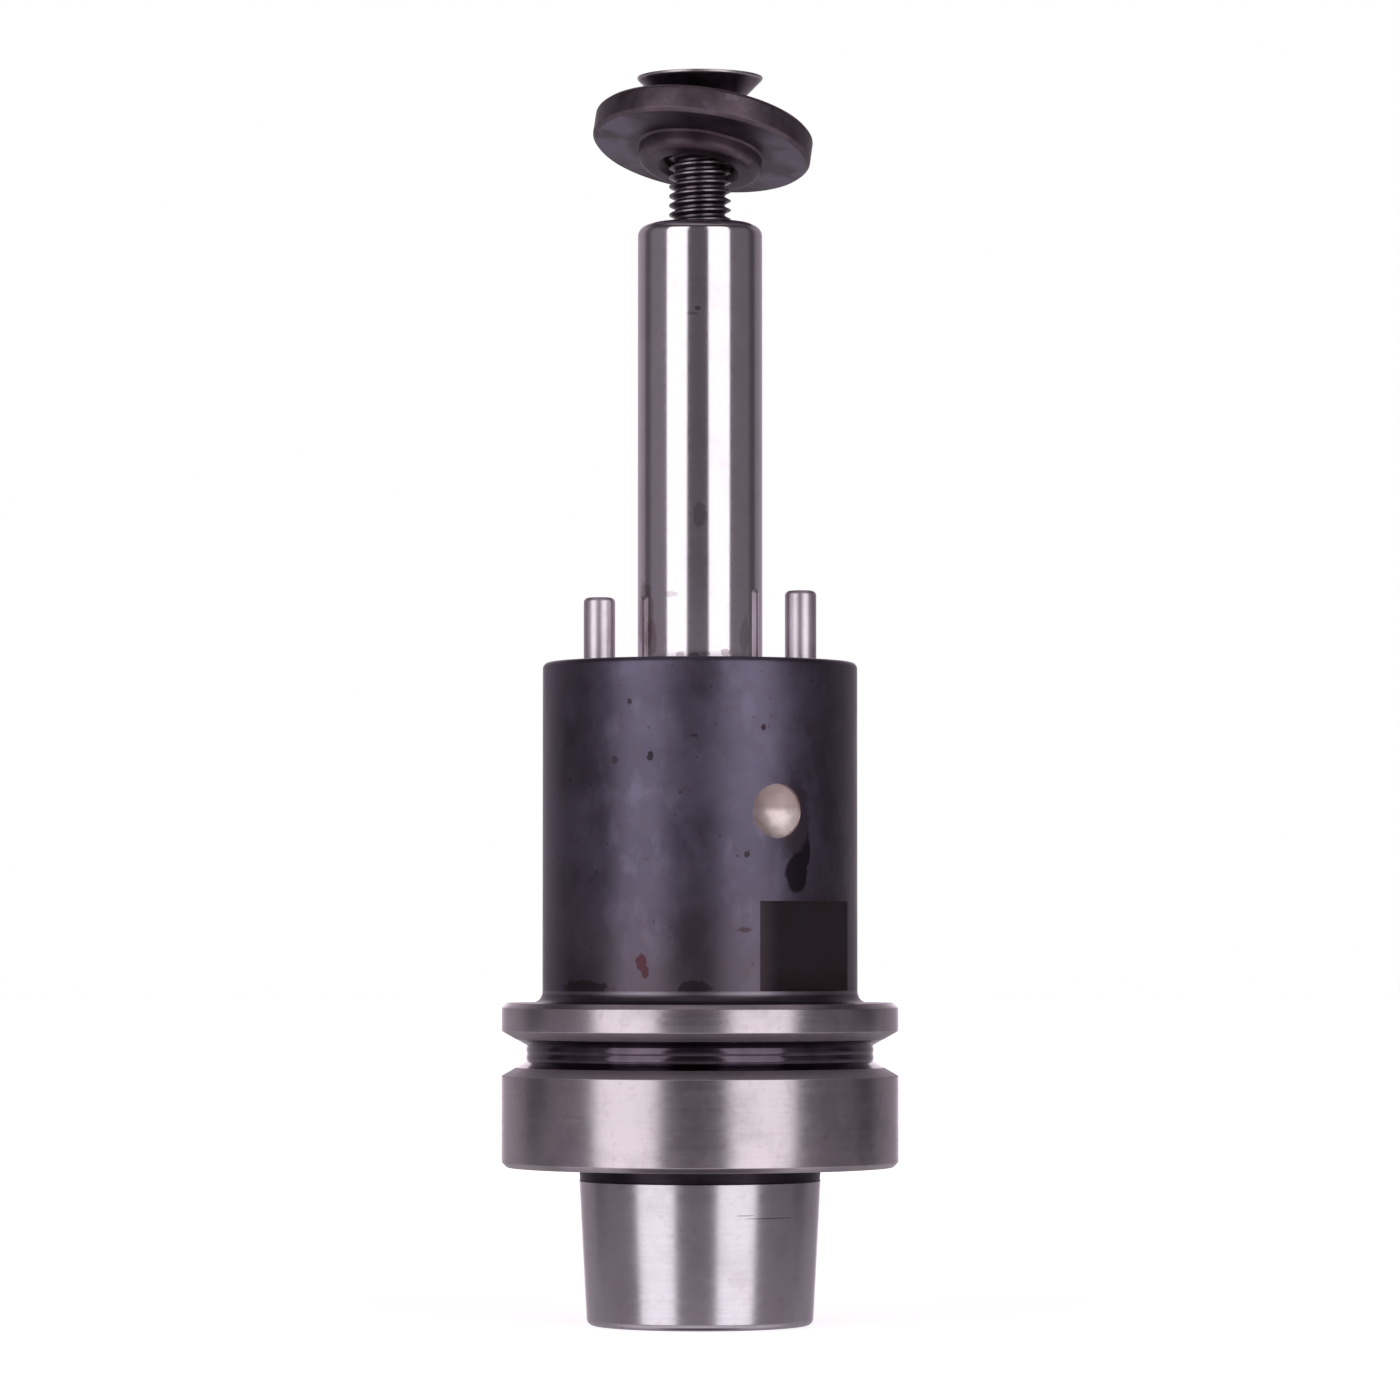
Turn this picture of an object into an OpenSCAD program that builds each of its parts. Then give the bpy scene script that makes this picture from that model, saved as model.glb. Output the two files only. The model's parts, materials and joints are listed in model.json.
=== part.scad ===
// Cutter arbor with an HSK-F63 hollow taper shank: holder, shrunk-in spindle, two drive pins,
// and the countersunk clamping screw with its loose cover washer.
// Millimetres. +Z runs up the spindle; the origin is the centre of the flange's contact face.
// The exact-size fits that other parts rely on are named under [Clearances].

/* [Flange and taper] */
// Diameter of the gripper flange
flange_d = 63; // [60:0.5:66]
// Height of the flange above its contact face
flange_h = 26; // [24:1:30]
// Height of the middle of the gripper groove above the contact face
groove_z = 18; // [16:0.5:20]
// Width of the flat at the bottom of the gripper groove
groove_base_w = 2.5; // [2:0.25:4]
// Diameter at the bottom of the gripper groove
groove_base_d = 55; // [52:0.5:58]
// Chamfer on the flange's edges
flange_edge = 0.8; // [0.3:0.1:1.5]
// Taper diameter at the gauge plane
gauge_d = 38.009; // [37:0.001:40]
// Distance of the gauge plane below the contact face
gauge_z = 5; // [4:0.5:6]
// Length of the taper below the contact face
taper_len = 25; // [23:0.5:28]
// Length along the taper for each millimetre of diameter lost
taper_ratio = 9.98; // [9.5:0.01:10.5]
// Rounding at the taper's small end
taper_end_r = 1.2; // [0.5:0.1:2]

/* [Clamping bore of the taper] */
// Diameter of the mouth where the gripping fingers enter
mouth_d = 26; // [24:0.5:28]
// Length of the mouth's straight land, measured from the taper's end
mouth_len = 8.3; // [7:0.1:9]
// Diameter of the chamber behind the 30 degree clamping shoulder
chamber_d = 32; // [30:0.5:33]
// Height of the chamber's floor above the contact face
chamber_top = 2.5; // [0:0.5:8]
// Diameter of the centre drilling in the chamber's floor
centre_d = 8; // [4:0.5:12]

/* [Body] */
// Diameter of the body above the flange
body_d = 50; // [48:0.5:56]
// Height of the cutter seat above the contact face
seat_z = 80; // [76:1:100]
// Rounding at the seat's outer edge
seat_edge_r = 1; // [0.5:0.1:2]
// Fillet between the body and the flange
root_r = 1.8; // [0.5:0.1:1.9]
// Depth of each wrench flat below the round body
flat_sunk = 2; // [1:0.1:3]
// Height of a wrench flat
flats_h = 14; // [12:0.5:18]
// Height of the flats' lower edge above the contact face
flats_z = 28; // [28:0.1:32]
// Direction that the first wrench flat faces, around +Z from +X
flats_turn = -45; // [-60:1:-30]
// Diameter of the balancing drilling
balance_d = 8.5; // [6:0.5:10]
// Depth of the balancing drilling's straight wall, at the body's outer radius
balance_depth = 0.9; // [0.6:0.1:6]
// Height of the balancing drilling above the contact face
balance_z = 56; // [54:0.5:62]
// Direction of the balancing drilling, around +Z from +X
balance_turn = -61; // [-70:0.5:-50]

/* [Spindle] */
// Diameter of the spindle that carries the cutters
spindle_d = 20; // [16:0.5:22]
// Free length of the spindle above the seat
spindle_len = 70; // [60:1:100]
// Rounding of the spindle's free end
spindle_end_r = 2; // [0.5:0.1:2.4]
// Step on radius from the spindle down to the tail that is shrunk into the body
tail_step = 0.5; // [0.3:0.1:2]
// Length of the tail
tail_len = 40; // [30:1:50]
// Width of the relief recess around the spindle's root
relief_w = 1; // [0.6:0.1:1.5]
// Depth of the relief recess, where the spindle's shoulder lands
relief_sunk = 1; // [0.5:0.1:2]

/* [Drive pins] */
// Diameter of a drive pin above the seat
pin_d = 5; // [4:0.5:6]
// Step on radius from a pin's nose out to its pressed shank in the body
pin_step = 0.5; // [0.3:0.1:1]
// Distance from the spindle's surface to a pin's axis
pin_out = 6; // [5.5:0.1:8]
// Height of the left pin above the seat
pin_left_h = 10.4; // [8:0.1:16]
// Height of the right pin above the seat
pin_right_h = 11.5; // [8:0.1:16]
// Depth of a pin in the body
pin_sunk = 14; // [10:0.5:20]
// Rounding of a pin's free end
pin_end_r = 0.8; // [0.3:0.1:1.5]

/* [Clamping screw] */
// Outer diameter of the metric thread
thread_d = 10; // [8:1:12]
// Height of the screw head's top above the spindle's end
head_lift = 23.6; // [23.5:0.1:40]
// Length of the screw over its head
screw_len = 40; // [36:1:45]
// Diameter of the screw head
head_d = 20; // [18:0.1:22]
// Height of the narrow straight rim of the head
head_rim = 0.4; // [0.2:0.1:0.8]
// Width across the flats of the hexagon socket
socket_af = 6; // [5:0.5:8]
// Depth of the hexagon socket
socket_depth = 4.4; // [3.5:0.1:5]
// Depth of the threaded hole below the spindle's end
thread_depth = 38; // [34:1:45]

/* [Cover washer] */
// Outer diameter of the washer
washer_d = 35; // [30:0.5:40]
// Thickness of the washer's disc
washer_t = 4.6; // [4.2:0.1:6]
// Chamfer on the disc's edges
washer_edge = 0.6; // [0.3:0.1:1]
// Height of the pilot boss under the disc, which centres in a cutter's bore
boss_h = 3; // [2.4:0.1:4]
// Depth of the bore's chamfer under the boss
bore_edge = 1; // [0.6:0.1:1.2]
// Direction of the canted washer's high side, around +Z from +X
cant_turn = 240; // [0:5:360]
// Distance from the foot of the head's cone down to the middle of the washer's bore
washer_hang = 7.6; // [7.4:0.1:8.2]

/* [Clearances] */
// Gap on radius between the screw's thread and the threaded hole
thread_gap = 0.07; // [0.05:0.01:0.15]
// Play on radius between the thread and the washer's bore, which lets the washer cant
bore_play = 0.5; // [0.3:0.05:0.6]
// Play on radius between the screw head and the washer's countersink
sink_play = 0.2; // [0.1:0.05:0.5]
// Amount by which the pilot boss is smaller on radius than the spindle
boss_play = 0.1; // [0.05:0.05:0.3]
// Gap left between the canted washer and the thread it hangs on
hook_gap = 0.095; // [0.06:0.005:0.15]
// Gap between the spindle's tail and the bottom of its bore
tail_gap = 0.5; // [0.3:0.1:1]
// Gap between a pin's lower end and the bottom of its hole
pin_gap = 0.5; // [0.3:0.1:1]

/* [Hidden] */
$fn = 96;
drill_tip = 118;
centre_tip = 60;
arc_steps = 6;
groove_half = groove_base_w / 2;
groove_rise = (flange_d - groove_base_d) / 2 * tan(30);
shoulder_rise = (chamber_d - mouth_d) / 2 / tan(30);
mouth_edge = 0.8;
relief_len = 2.02;
relief_depth = 0.12;
spindle_end_z = seat_z + spindle_len;
shoulder_z = seat_z - relief_sunk;
tail_d = spindle_d - 2 * tail_step;
relief_d = spindle_d + 2 * relief_w;
tail_z = shoulder_z - tail_len;
pin_shank_d = pin_d + 2 * pin_step;
pin_circle_d = spindle_d + 2 * pin_out;
head_z = spindle_end_z + head_lift;
screw_r = thread_d / 2 - thread_gap;
head_h = head_rim + head_d / 2 - screw_r;
boss_d = spindle_d - 2 * boss_play;
washer_bore = thread_d + 2 * bore_play;
sink_d = head_d + 2 * sink_play;
sink_depth = (sink_d - washer_bore) / 2;
// The straight part of the washer's bore, whose middle stays on the axis when the washer cants
land_top = -sink_depth;
land_foot = bore_edge - washer_t - boss_h;
land_mid = (land_top + land_foot) / 2;
land_half = (land_top - land_foot) / 2;
// The washer tips until both ends of its straight bore are hook_gap away from the thread
cant = acos((screw_r + hook_gap) / norm([washer_bore / 2, land_half])) - atan(land_half / (washer_bore / 2));
tip_chamfer = 1;
lead_in = 0.6;
socket_edge = 0.3;
core_d = 0.85 * thread_d;
cut = 1;

// Radius of the ground taper at height z
function taper_r(z) = gauge_d / 2 + (z + gauge_z) / taper_ratio / 2;

// Points of a quarter round of radius r about centre c, from angle a to a + 90 in the r-z plane
function quarter(c, r, a) =
    [for (i = [0 : arc_steps]) c + r * [cos(a + 90 * i / arc_steps), sin(a + 90 * i / arc_steps)]];

// Points of a quarter round run the other way, for inside fillets
function quarter_back(c, r, a) =
    [for (i = [0 : arc_steps]) c + r * [cos(a - 90 * i / arc_steps), sin(a - 90 * i / arc_steps)]];

// Drilled hole whose mouth is at z = 0, running down -Z, with a cone of the given point angle
module drilling(d, depth, tip) {
    translate([0, 0, -depth]) cylinder(d = d, h = depth + cut);
    translate([0, 0, -depth - d / 2 / tan(tip / 2)])
        cylinder(d1 = 0, d2 = d, h = d / 2 / tan(tip / 2));
}

// Half section of the turned holder, from the taper's end up to the seat
module holder_profile() {
    taper_end_z = -taper_len;
    end_r = taper_r(taper_end_z);
    flange_r = flange_d / 2;
    body_r = body_d / 2;
    polygon(concat(
        [[0, taper_end_z]],
        quarter([end_r - taper_end_r, taper_end_z + taper_end_r], taper_end_r, -90),
        [
            [taper_r(-relief_len - relief_depth), -relief_len - relief_depth],
            [taper_r(-relief_len) - relief_depth, -relief_len],
            [taper_r(0) - relief_depth, 0],
            [flange_r - flange_edge, 0],
            [flange_r, flange_edge],
            [flange_r, groove_z - groove_half - groove_rise],
            [groove_base_d / 2, groove_z - groove_half],
            [groove_base_d / 2, groove_z + groove_half],
            [flange_r, groove_z + groove_half + groove_rise],
            [flange_r, flange_h - flange_edge],
            [flange_r - flange_edge, flange_h],
        ],
        quarter_back([body_r + root_r, flange_h + root_r], root_r, 270),
        quarter([body_r - seat_edge_r, seat_z - seat_edge_r], seat_edge_r, 0),
        [[0, seat_z]]
    ));
}

// Half section of the hollow in the taper: mouth, 30 degree shoulder and chamber
module hollow_profile() {
    mouth_z = -taper_len;
    land_z = mouth_z + mouth_len;
    polygon([
        [0, mouth_z - cut],
        [mouth_d / 2 + mouth_edge + cut, mouth_z - cut],
        [mouth_d / 2, mouth_z + mouth_edge],
        [mouth_d / 2, land_z],
        [chamber_d / 2, land_z + shoulder_rise],
        [chamber_d / 2, chamber_top],
        [0, chamber_top],
    ]);
}

// Blocks that leave the two wrench flats when cut from the body
module wrench_flats() {
    for (turn = [flats_turn, flats_turn + 180])
        rotate([0, 0, turn])
            translate([body_d / 2 - flat_sunk, -body_d / 2, flats_z])
                cube([body_d, body_d, flats_h]);
}

module holder() {
    color("#3b363d") difference() {
        rotate_extrude() holder_profile();
        rotate_extrude() hollow_profile();
        translate([0, 0, chamber_top]) mirror([0, 0, 1]) drilling(centre_d, 4, centre_tip);
        translate([0, 0, tail_z - tail_gap]) cylinder(d = tail_d, h = tail_len + tail_gap + cut);
        translate([0, 0, shoulder_z]) cylinder(d = relief_d, h = relief_sunk + cut);
        wrench_flats();
        rotate([0, 0, balance_turn])
            translate([body_d / 2, 0, balance_z])
                rotate([0, 90, 0]) drilling(balance_d, balance_depth, drill_tip);
        for (side = [-1, 1])
            translate([side * pin_circle_d / 2, 0, seat_z - pin_sunk - pin_gap])
                cylinder(d = pin_shank_d, h = pin_sunk + pin_gap + cut);
    }
}

// Half section of a stepped bar: a shank with a chamfered foot from z0, a step at z1 and a rounded top
module bar_profile(shank_d, d, z0, z1, z2, top_r, foot) {
    polygon(concat(
        [[0, z0], [shank_d / 2 - foot, z0], [shank_d / 2, z0 + foot], [shank_d / 2, z1], [d / 2, z1]],
        quarter([d / 2 - top_r, z2 - top_r], top_r, 0),
        [[0, z2]]
    ));
}

module spindle() {
    color("#b9b6bb") difference() {
        rotate_extrude()
            bar_profile(tail_d, spindle_d, tail_z, shoulder_z, spindle_end_z, spindle_end_r, 1);
        translate([0, 0, spindle_end_z - thread_depth]) cylinder(d = thread_d, h = thread_depth + cut);
        translate([0, 0, spindle_end_z - thread_depth]) drilling(core_d, 4, drill_tip);
        // lead-in of the thread
        translate([0, 0, spindle_end_z - lead_in])
            cylinder(d1 = thread_d, d2 = thread_d + 2 * (lead_in + cut), h = lead_in + cut);
    }
}

// Drive pin at x, standing h above the seat
module drive_pin(x, h) {
    color("#aaa5ad") translate([x, 0, 0]) rotate_extrude()
        bar_profile(pin_shank_d, pin_d, seat_z - pin_sunk, seat_z, seat_z + h, pin_end_r, 0.5);
}

module drive_pin_left() {
    drive_pin(-pin_circle_d / 2, pin_left_h);
}

module drive_pin_right() {
    drive_pin(pin_circle_d / 2, pin_right_h);
}

// Half section of the washer, its top face at z = 0
module washer_profile() {
    foot = -washer_t - boss_h;
    polygon([
        [sink_d / 2, 0],
        [washer_d / 2 - washer_edge, 0],
        [washer_d / 2, -washer_edge],
        [washer_d / 2, -washer_t + washer_edge],
        [washer_d / 2 - washer_edge, -washer_t],
        [boss_d / 2, -washer_t],
        [boss_d / 2, foot + 0.4],
        [boss_d / 2 - 0.4, foot],
        [washer_bore / 2 + bore_edge, foot],
        [washer_bore / 2, land_foot],
        [washer_bore / 2, land_top],
    ]);
}

module clamping_washer() {
    color("#4a4148")
        translate([0, 0, head_z - head_h - washer_hang])
            rotate([0, 0, cant_turn]) rotate([0, -cant, 0])
                translate([0, 0, -land_mid]) rotate_extrude() washer_profile();
}

// Half section of the countersunk screw without its socket
module screw_profile() {
    tip_z = head_z - screw_len;
    polygon([
        [0, tip_z],
        [screw_r - tip_chamfer, tip_z],
        [screw_r, tip_z + tip_chamfer],
        [screw_r, head_z - head_h],
        [head_d / 2, head_z - head_rim],
        [head_d / 2, head_z],
        [0, head_z],
    ]);
}

module clamping_screw() {
    socket_d = socket_af / cos(30);
    color("#2b2a2d") difference() {
        rotate_extrude() screw_profile();
        translate([0, 0, head_z - socket_depth]) cylinder(d = socket_d, h = socket_depth + cut, $fn = 6);
        // drilled bottom of the socket
        translate([0, 0, head_z - socket_depth]) drilling(socket_af, 0.1, 120);
        // chamfer at the socket's mouth
        translate([0, 0, head_z - socket_edge])
            cylinder(d1 = socket_af, d2 = socket_af + 4 * (socket_edge + cut), h = socket_edge + cut);
    }
}

holder();
spindle();
drive_pin_left();
drive_pin_right();
clamping_washer();
clamping_screw();
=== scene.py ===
"""Cutter arbor with a hollow taper shank: turned meshes with fine edges, real finishes and a studio."""

import json
import math

import bmesh
import bpy
from bpy.props import FloatProperty, FloatVectorProperty, PointerProperty
from mathutils import Matrix, Vector


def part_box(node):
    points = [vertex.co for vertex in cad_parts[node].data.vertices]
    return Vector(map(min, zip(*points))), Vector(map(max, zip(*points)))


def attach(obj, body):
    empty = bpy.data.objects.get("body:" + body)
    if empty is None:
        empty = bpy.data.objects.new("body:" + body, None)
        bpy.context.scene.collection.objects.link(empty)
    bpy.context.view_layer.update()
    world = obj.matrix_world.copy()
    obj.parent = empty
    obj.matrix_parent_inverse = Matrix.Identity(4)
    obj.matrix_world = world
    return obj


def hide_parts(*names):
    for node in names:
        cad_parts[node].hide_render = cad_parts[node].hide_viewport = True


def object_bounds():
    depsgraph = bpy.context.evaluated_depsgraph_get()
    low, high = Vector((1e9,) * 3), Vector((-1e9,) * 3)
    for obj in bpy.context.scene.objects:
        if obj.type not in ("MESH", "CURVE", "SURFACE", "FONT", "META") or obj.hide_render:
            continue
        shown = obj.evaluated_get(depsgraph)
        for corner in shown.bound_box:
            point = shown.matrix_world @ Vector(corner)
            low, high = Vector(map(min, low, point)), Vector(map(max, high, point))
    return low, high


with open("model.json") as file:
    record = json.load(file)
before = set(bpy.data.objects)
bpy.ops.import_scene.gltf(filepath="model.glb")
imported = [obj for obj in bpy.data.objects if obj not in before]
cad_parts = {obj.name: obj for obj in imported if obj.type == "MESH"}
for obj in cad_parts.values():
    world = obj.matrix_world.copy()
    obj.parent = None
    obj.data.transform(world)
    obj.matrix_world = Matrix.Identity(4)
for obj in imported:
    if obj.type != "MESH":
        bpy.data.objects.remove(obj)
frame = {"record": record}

bl_info = {
    "name": "Cutter Arbor",
    "version": (1, 0, 0),
    "blender": (4, 5, 0),
    "location": "View3D > Sidebar > Arbor",
    "description": "Builds a hollow taper cutter arbor with its pins, cover washer and clamping screw",
    "category": "Add Mesh",
}

MM = 0.001
CAD_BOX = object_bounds()
MOUNTS = {mount["name"]: mount for mount in frame["record"]["mounts"]}
HOLDER_LO, HOLDER_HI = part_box("holder")
SPINDLE_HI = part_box("spindle")[1]
PIN_BOXES = {side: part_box(f"drive_pin_{side}") for side in ("left", "right")}
SCREW_LO, SCREW_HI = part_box("clamping_screw")
FLANGE_R = HOLDER_HI.x
TAPER_END_Z = HOLDER_LO.z
SEAT_Z = MOUNTS["cutter_seat"]["pos_m"][2]
SPINDLE_DIMS = MOUNTS["cutter_spindle"]["dims"]
SPINDLE_R = SPINDLE_DIMS["r_mm"] * MM
# rounding of the spindle's free end, which its mount leaves out
SPINDLE_END_MM = 2
SHOULDER_Z = SPINDLE_HI.z - (SPINDLE_DIMS["length_mm"] + SPINDLE_END_MM) * MM
PIN_R = MOUNTS["drive_pins"]["dims"]["stud_r_mm"] * MM
MOUTH_R = MOUNTS["hsk_clamp_bore"]["dims"]["r_mm"] * MM
FLAT = MOUNTS["wrench_flat_front"]
WASHER_FACE = MOUNTS["washer_clamp_face"]
# faces round each turned piece
BODY_STEPS = 288
WASHER_STEPS = 192
SPINDLE_STEPS = 144
SCREW_STEPS = 96
DRILL_STEPS = 96
PIN_STEPS = 72
# half of a twist drill's 118 degree point
DRILL_POINT = math.radians(59)
# slope of the groove's flanks and the socket's floor, and half angle of the bore's shoulder and centre
SLOPE = math.radians(30)
# depth of a metric thread on a screw and in a hole, in shares of its pitch
SCREW_DEPTH = 0.6134
HOLE_DEPTH = 0.54
# play between the screw's crests and the hole
THREAD_PLAY = 0.07 * MM
# a mapped range eases in and out at its ends
SMOOTH = {"interpolation_type": "SMOOTHSTEP"}

# rust specks and other marks: direction, height, half width, half height, raggedness, share, colour
BODY_MARKS = (
    (-111.5, 32.4, 0.9, 1.4, 1.3, 1, "4a3037"),
    (-110.0, 31.0, 0.6, 1.0, 1.3, 1, "463036"),
    (-108.0, 64.5, 0.5, 0.7, 1.1, 1, "302a32"),
    (-137.0, 28.4, 5.5, 1.2, 1.0, 1, "3e3338"),
    (-122.0, 64.0, 0.6, 0.6, 1.1, 1, "453942"),
    (-116.0, 73.0, 0.4, 0.5, 1.1, 1, "3a3038"),
    (-66.7, 69.0, 0.4, 0.5, 1.1, 1, "3a3038"),
    (-73.1, 49.2, 0.5, 0.5, 1.1, 1, "383038"),
    (-74.0, 37.5, 1.1, 0.4, 1.3, 1, "473a41"),
    # three marks beside the drilling, drawn as they show
    (-50.6, 50.0, 1.7, 4.0, 0.6, 1, "2f2832"),
    (-53.0, 46.2, 2.1, 2.9, 0.6, 1, "2e2731"),
    (-53.0, 55.0, 2.6, 5.6, 0.8, 1, "514753"),
    (-92.0, 28.6, 2.6, 1.0, 1.2, 1, "41363c"),
)
# a scratch in two strokes and a hand stain
TAPER_MARKS = (
    (-54.0, -7.5, 4.6, 0.1, 0.2, 0.65, "5a4c58"),
    (-68.0, -7.0, 1.6, 0.08, 0.2, 0.6, "5a4c58"),
    (-70.0, -17.0, 2.0, 1.4, 1.2, 0.12, "8d7f84"),
)
# specks, and old rust where the spindle leaves the body
SPINDLE_MARKS = (
    (-92.0, 135.6, 0.5, 0.35, 0.9, 0.6, "584c54"),
    (-97.0, 134.8, 0.9, 0.2, 0.6, 0.4, "6f636a"),
    (-90.0, 103.0, 1.1, 2.0, 1.0, 0.35, "6a5e68"),
    (-151.0, 87.0, 2.4, 6.0, 1.2, 0.4, "6b4a48"),
    (-118.0, 90.5, 1.2, 0.5, 1.0, 0.35, "7d6a68"),
    (-142.0, 83.5, 1.6, 3.0, 1.0, 0.4, "7a5a56"),
    (-45.0, 84.0, 1.0, 3.0, 1.0, 0.3, "7a686c"),
    (-108.0, 80.9, 0.7, 0.5, 1.0, 0.5, "6a5050"),
    (-96.0, 80.8, 0.9, 0.4, 1.0, 0.5, "6f5654"),
    (-84.0, 80.9, 0.6, 0.5, 1.0, 0.4, "6a5050"),
    (-66.0, 81.2, 0.8, 0.6, 1.0, 0.5, "644c4c"),
)


def linear(code):
    """Turn an sRGB hex code into a linear RGBA colour."""
    parts = [int(code[i : i + 2], 16) / 255 for i in (0, 2, 4)]
    return tuple(p / 12.92 if p <= 0.04045 else ((p + 0.055) / 1.055) ** 2.4 for p in parts) + (1.0,)


def length(name, mm, description):
    """A size property in millimetres, held in metres."""
    return FloatProperty(name=name, description=description, default=mm * MM, unit="LENGTH", precision=5)


def angle(name, degrees, description):
    """An angle property."""
    return FloatProperty(name=name, description=description, default=math.radians(degrees), subtype="ANGLE")


def colour(name, code, description):
    """A colour property whose default is an sRGB hex code."""
    return FloatVectorProperty(
        name=name, description=description, default=linear(code), size=4, min=0, max=1, subtype="COLOR"
    )


# ---------------------------------------- sizes and colours


class ArborHolderSettings(bpy.types.PropertyGroup):
    """Sizes and colours of the holder that its mounts don't state."""

    body_r: length("Body radius", 25, "Radius of the body above the flange")
    flange_h: length("Flange height", 26, "Top of the flange above its contact face")
    flange_edge: length("Flange chamfer", 0.8, "Chamfer on the flange's edges")
    groove_z: length("Groove height", 18, "Middle of the gripper groove")
    groove_w: length("Groove base width", 2.5, "Flat at the bottom of the gripper groove")
    groove_r: length("Groove base radius", 27.5, "Radius at the bottom of the gripper groove")
    ridge_h: length("Groove ridges", 0.12, "Height of the two turned ridges at the groove's bottom")
    ground_r: length("Ground flank radius", 29.2, "The groove's flanks are ground outside this radius")
    gauge_r: length("Gauge radius", 19.0045, "Radius of the taper at its gauge plane")
    gauge_z: length("Gauge depth", 5, "Gauge plane below the contact face")
    taper_ratio: FloatProperty(name="Taper ratio", description="Length per unit of diameter", default=9.98)
    taper_end_r: length("Taper end", 1.2, "Rounding at the taper's small end")
    relief_len: length("Relief length", 2.02, "Unground strip below the contact face")
    relief_in: length("Relief depth", 0.12, "Depth of the unground strip")
    root_r: length("Root fillet", 1.8, "Fillet between the body and the flange")
    seat_edge_r: length("Seat edge", 1, "Rounding at the seat's outer edge")
    recess_r: length("Root recess", 11, "Radius of the recess around the spindle's root")
    mouth_edge: length("Mouth chamfer", 0.8, "Chamfer at the mouth of the clamping bore")
    mouth_len: length("Mouth land", 8.3, "Straight land of the clamping bore, from the end")
    chamber_r: length("Chamber radius", 16, "Radius of the chamber behind the 30 degree shoulder")
    chamber_z: length("Chamber floor", 2.5, "Floor of the chamber above the contact face")
    centre_r: length("Centre radius", 4, "Radius of the drilling in the chamber's floor")
    centre_in: length("Centre depth", 4, "Straight wall of the drilling in the chamber's floor")
    flat_z: length("Flat foot", 28, "Lower edge of a wrench flat")
    flat_h: length("Flat height", 14, "Height of a wrench flat")
    drill_r: length("Drilling radius", 4.25, "Radius of the balancing drilling")
    drill_in: length("Drilling depth", 0.9, "Straight wall of the balancing drilling")
    drill_z: length("Drilling height", 56, "Height of the balancing drilling")
    drill_turn: angle("Drilling direction", -61, "Direction of the drilling around +Z")
    edge_break: length("Broken edges", 0.12, "Rounding left on every turned edge")
    oxide: colour("Black oxide", "5d5768", "Reflection of the blackened body")
    rim: colour("Ground rim", "b6adb3", "Reflection of the ground flange")
    taper: colour("Ground taper", "b9b3bb", "Reflection of the ground taper")


class ArborSpindleSettings(bpy.types.PropertyGroup):
    """Sizes and colour of the spindle."""

    end_r: length("End rounding", SPINDLE_END_MM, "Rounding of the free end")
    lead_in: length("Lead-in", 0.6, "Chamfer at the mouth of the threaded hole")
    thread_depth: length("Thread depth", 38, "Depth of the threaded hole")
    edge_break: length("Broken edges", 0.08, "Rounding left on every turned edge")
    steel: colour("Lapped steel", "d6d0d6", "Reflection of the finely ground spindle")


class ArborPinSettings(bpy.types.PropertyGroup):
    """Sizes and colour of the drive pins."""

    end_r: length("End rounding", 0.8, "Rounding of a pin's free end")
    steel: colour("Pin steel", "d4cbd4", "Reflection of the ground pins")


class ArborWasherSettings(bpy.types.PropertyGroup):
    """Sizes and colour of the cover washer."""

    outer_r: length("Outer radius", 17.5, "Radius of the disc")
    disc_t: length("Disc thickness", 4.6, "Thickness of the disc")
    edge: length("Disc chamfer", 0.6, "Chamfer on the disc's edges")
    boss_r: length("Boss radius", 9.9, "Radius of the pilot boss")
    boss_h: length("Boss height", 3, "Height of the pilot boss under the disc")
    boss_edge_r: length("Boss edge", 1.5, "Rounding of the boss's lower edge")
    bore_r: length("Bore radius", 5.5, "Radius of the bore")
    bore_edge: length("Bore chamfer", 1, "Chamfer of the bore under the boss")
    sink_r: length("Countersink radius", 10.2, "Radius of the countersink at the top face")
    edge_break: length("Broken edges", 0.15, "Rounding left on every turned edge")
    oxide: colour("Brown-black oxide", "655860", "Reflection of the blackened washer")


class ArborScrewSettings(bpy.types.PropertyGroup):
    """Sizes and colours of the countersunk screw."""

    pitch: length("Pitch", 1.5, "Pitch of the thread")
    crest_r: length("Crest radius", 4.93, "Radius over the thread's crests")
    head_rim: length("Head rim", 0.4, "Straight rim of the head")
    neck: length("Neck", 1.7, "Unthreaded stretch under the head")
    socket_af: length("Socket width", 6, "Width across the flats of the hexagon socket")
    socket_in: length("Socket depth", 4.4, "Depth of the hexagon socket")
    edge_break: length("Broken edges", 0.14, "Rounding left on the head's edges")
    oxide: colour("Glossy black oxide", "756a71", "Reflection of the blackened screw")
    crest: colour("Worn crests", "948b90", "Reflection of the worn thread crests")


class ArborStageSettings(bpy.types.PropertyGroup):
    """The camera, the lights and the floor."""

    distance: length("Distance", 1000, "Camera from the axis")
    height: length("Height", 35.5, "Camera above the contact face")
    pitch: angle("Pitch", 2.21, "Camera's tilt upwards")
    lens: FloatProperty(name="Lens", description="Focal length in millimetres", default=161.8, unit="CAMERA")
    light_away: length("Light distance", 1300, "Softboxes from the axis")
    light_z: length("Light height", 250, "Middle of the softboxes above the contact face")
    light_h: length("Light length", 1700, "Upright side of the softboxes")
    aim_z: length("Light aim", 70, "Height on the axis that the softboxes point at")
    floor: colour("Floor", "f4f2f4", "Colour of the floor")


# ---------------------------------------- nodes and materials


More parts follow.
